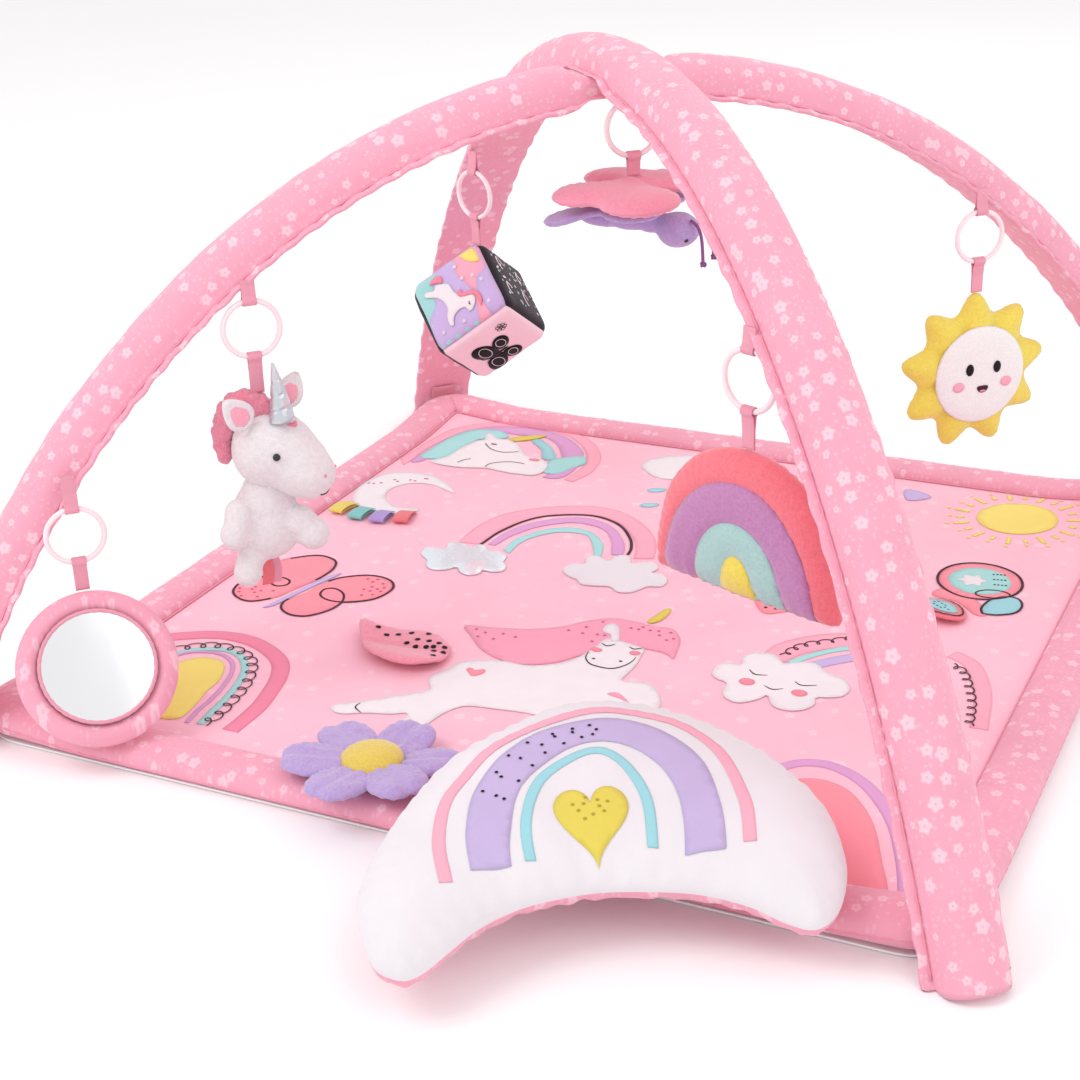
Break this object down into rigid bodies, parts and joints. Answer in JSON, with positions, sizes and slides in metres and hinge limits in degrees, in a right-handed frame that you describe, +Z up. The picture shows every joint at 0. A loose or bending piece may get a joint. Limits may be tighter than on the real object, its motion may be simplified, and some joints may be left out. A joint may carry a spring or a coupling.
{
  "type": "activity play gym",
  "caption": "Baby activity play gym: quilted square mat, two padded crossing arches, plush toys hanging on plastic rings, padded mirror, fabric cube and a crescent tummy pillow",
  "frame": {"origin": "middle of the mat's underside, on the floor", "axes": "+X to the mat's right, +Y to its back, +Z up; the front edge is the one the pillow leans on"},
  "size_m": [0.9706, 1.1484, 0.5553],
  "materials": {
    "pink_quilt": "woven",
    "floral_cotton": "woven",
    "white_cotton": "woven",
    "lining_cotton": "woven",
    "polyester_fill": "loose",
    "coral_velour": "velour",
    "pink_velour": "velour",
    "lavender_velour": "velour",
    "yellow_velour": "velour",
    "white_plush": "plush",
    "deep_pink_plush": "plush",
    "silver_cloth": "satin",
    "black_white_print": "woven",
    "ribbon_pink": "satin",
    "ribbon_mixed": "satin",
    "cord_purple": "braided",
    "pale_plastic": "gloss",
    "white_plastic": "satin",
    "fibreglass": "smooth",
    "mirror_film": "polished"
  },
  "bodies": {
    "mat": {"mat_bottom_cover": "lining_cotton", "mat_batting": "polyester_fill", "mat_top_cover": "pink_quilt", "mat_border_front": "floral_cotton", "mat_border_back": "floral_cotton", "mat_border_left": "floral_cotton", "mat_border_right": "floral_cotton", "corner_straps": "floral_cotton", "moon_tags": "ribbon_mixed", "cloud_patches": "silver_cloth", "flower_petals": "lavender_velour", "flower_center": "yellow_velour"},
    "tail_flap_body": {"tail_flap": "pink_velour"},
    "wing_flap_body": {"wing_flap": "coral_velour"},
    "lower_arch": {"lower_arch_sleeve": "floral_cotton", "lower_arch_poles": "fibreglass", "lower_arch_spigots": "fibreglass", "lower_arch_foot_plugs": "white_plastic", "lower_leg_pads": "floral_cotton", "lower_arch_tabs": "ribbon_pink"},
    "upper_arch": {"upper_arch_sleeve": "floral_cotton", "upper_arch_poles": "fibreglass", "upper_arch_spigots": "fibreglass", "upper_arch_foot_plugs": "white_plastic", "upper_leg_pads": "floral_cotton", "upper_arch_tabs": "ribbon_pink"},
    "pillow": {"pillow_cover": "white_cotton", "pillow_filling": "polyester_fill"},
    "mirror_ring_body": {"mirror_ring": "pale_plastic"},
    "mirror_ribbon_body": {"mirror_ribbon": "ribbon_pink"},
    "mirror_toy": {"mirror_frame": "floral_cotton", "mirror_disc": "mirror_film"},
    "unicorn_ring_body": {"unicorn_ring": "pale_plastic"},
    "unicorn_ribbon_body": {"unicorn_ribbon": "ribbon_pink"},
    "unicorn_toy": {"unicorn_head": "white_plush", "unicorn_body": "white_plush", "unicorn_horn": "silver_cloth", "unicorn_mane": "deep_pink_plush", "unicorn_ears": "white_plush", "unicorn_tail": "coral_velour"},
    "butterfly_ring_body": {"butterfly_ring": "pale_plastic"},
    "butterfly_ribbon_body": {"butterfly_ribbon": "ribbon_pink"},
    "butterfly_toy": {"butterfly_wings_top": "pink_velour", "butterfly_wings_low": "lavender_velour", "butterfly_body": "lavender_velour", "antenna_left": "cord_purple", "antenna_right": "cord_purple", "antenna_knots": "cord_purple"},
    "sun_ring_body": {"sun_ring": "pale_plastic"},
    "sun_ribbon_body": {"sun_ribbon": "ribbon_pink"},
    "sun_toy": {"sun_rays": "yellow_velour", "sun_face": "white_plush"},
    "cube_ring_body": {"cube_ring": "pale_plastic"},
    "cube_ribbon_body": {"cube_ribbon": "ribbon_pink"},
    "cube_toy": {"cube_cover": "black_white_print", "cube_filling": "polyester_fill", "cube_chime": "white_plastic"},
    "rainbow_ring_body": {"rainbow_ring": "pale_plastic"},
    "rainbow_ribbon_body": {"rainbow_ribbon": "ribbon_pink"},
    "rainbow_toy": {"rainbow_cushion": "coral_velour"}
  },
  "joints": [
    {"name": "lower_arch_lift", "type": "slide", "parent": "mat", "child": "lower_arch", "axis": [0, 0, 1], "range_m": [0, 0.12]},
    {"name": "upper_arch_lift", "type": "slide", "parent": "lower_arch", "child": "upper_arch", "axis": [0, 0, 1], "range_m": [0, 0.1]},
    {"name": "pillow_lift", "type": "slide", "parent": "mat", "child": "pillow", "axis": [0, 0, 1], "range_m": [0, 0.1]},
    {"name": "tail_flap_hinge", "type": "hinge", "parent": "mat", "child": "tail_flap_body", "pos_m": [-0.098, -0.186, 0.0145], "axis": [0, 1, 0], "range_deg": [0, 80]},
    {"name": "wing_flap_hinge", "type": "hinge", "parent": "mat", "child": "wing_flap_body", "pos_m": [0.3085, 0.0955, 0.0145], "axis": [-0.8188, 0.5741, 0], "range_deg": [0, 70]},
    {"name": "mirror_ring_swing", "type": "hinge", "parent": "lower_arch", "child": "mirror_ring_body", "pos_m": [-0.3395, -0.3946, 0.2135], "axis": [0.7071, 0.7071, 0], "range_deg": [-45, 0]},
    {"name": "mirror_ribbon_slide", "type": "hinge", "parent": "mirror_ring_body", "child": "mirror_ribbon_body", "pos_m": [-0.3395, -0.3946, 0.189], "axis": [0.7071, -0.7071, 0], "range_deg": [-15, 15]},
    {"name": "mirror_toy_swing", "type": "hinge", "parent": "mirror_ribbon_body", "child": "mirror_toy", "pos_m": [-0.3395, -0.3946, 0.1375], "axis": [0.7071, 0.7071, 0], "range_deg": [-45, 0]},
    {"name": "unicorn_ring_swing", "type": "hinge", "parent": "lower_arch", "child": "unicorn_ring_body", "pos_m": [-0.2237, -0.2718, 0.3731], "axis": [0.7071, 0.7071, 0], "range_deg": [-25, 30]},
    {"name": "unicorn_ribbon_slide", "type": "hinge", "parent": "unicorn_ring_body", "child": "unicorn_ribbon_body", "pos_m": [-0.2237, -0.2718, 0.3486], "axis": [0.7071, -0.7071, 0], "range_deg": [-25, 25]},
    {"name": "unicorn_toy_swing", "type": "hinge", "parent": "unicorn_ribbon_body", "child": "unicorn_toy", "pos_m": [-0.2237, -0.2718, 0.2911], "axis": [0.7071, 0.7071, 0], "range_deg": [-15, 45]},
    {"name": "butterfly_ring_swing", "type": "hinge", "parent": "lower_arch", "child": "butterfly_ring_body", "pos_m": [0.024, -0.024, 0.5085], "axis": [0.7071, 0.7071, 0], "range_deg": [-15, 18]},
    {"name": "butterfly_ribbon_slide", "type": "hinge", "parent": "butterfly_ring_body", "child": "butterfly_ribbon_body", "pos_m": [0.024, -0.024, 0.484], "axis": [0.7071, -0.7071, 0], "range_deg": [-12, 12]},
    {"name": "butterfly_toy_swing", "type": "hinge", "parent": "butterfly_ribbon_body", "child": "butterfly_toy", "pos_m": [0.024, -0.024, 0.4415], "axis": [0.7071, 0.7071, 0], "range_deg": [-14, 14]},
    {"name": "sun_ring_swing", "type": "hinge", "parent": "lower_arch", "child": "sun_ring_body", "pos_m": [0.2753, 0.2273, 0.369], "axis": [0.7071, 0.7071, 0], "range_deg": [-20, 20]},
    {"name": "sun_ribbon_slide", "type": "hinge", "parent": "sun_ring_body", "child": "sun_ribbon_body", "pos_m": [0.2753, 0.2273, 0.3445], "axis": [0.7071, -0.7071, 0], "range_deg": [-15, 15]},
    {"name": "sun_toy_swing", "type": "hinge", "parent": "sun_ribbon_body", "child": "sun_toy", "pos_m": [0.2753, 0.2273, 0.289], "axis": [0.7071, 0.7071, 0], "range_deg": [-25, 25]},
    {"name": "cube_ring_swing", "type": "hinge", "parent": "upper_arch", "child": "cube_ring_body", "pos_m": [-0.262, 0.214, 0.3725], "axis": [0.9397, -0.342, 0], "range_deg": [-30, 30]},
    {"name": "cube_ribbon_slide", "type": "hinge", "parent": "cube_ring_body", "child": "cube_ribbon_body", "pos_m": [-0.262, 0.214, 0.348], "axis": [-0.342, -0.9397, 0], "range_deg": [-25, 25]},
    {"name": "cube_toy_swing", "type": "hinge", "parent": "cube_ribbon_body", "child": "cube_toy", "pos_m": [-0.262, 0.214, 0.2935], "axis": [0.9397, -0.342, 0], "range_deg": [-40, 40]},
    {"name": "rainbow_ring_swing", "type": "hinge", "parent": "upper_arch", "child": "rainbow_ring_body", "pos_m": [0.2215, -0.2695, 0.3791], "axis": [0.9397, -0.342, 0], "range_deg": [-20, 20]},
    {"name": "rainbow_ribbon_slide", "type": "hinge", "parent": "rainbow_ring_body", "child": "rainbow_ribbon_body", "pos_m": [0.2215, -0.2695, 0.3546], "axis": [-0.342, -0.9397, 0], "range_deg": [-20, 12]},
    {"name": "rainbow_toy_swing", "type": "hinge", "parent": "rainbow_ribbon_body", "child": "rainbow_toy", "pos_m": [0.2215, -0.2695, 0.2991], "axis": [0.9397, -0.342, 0], "range_deg": [-30, 30]}
  ]
}
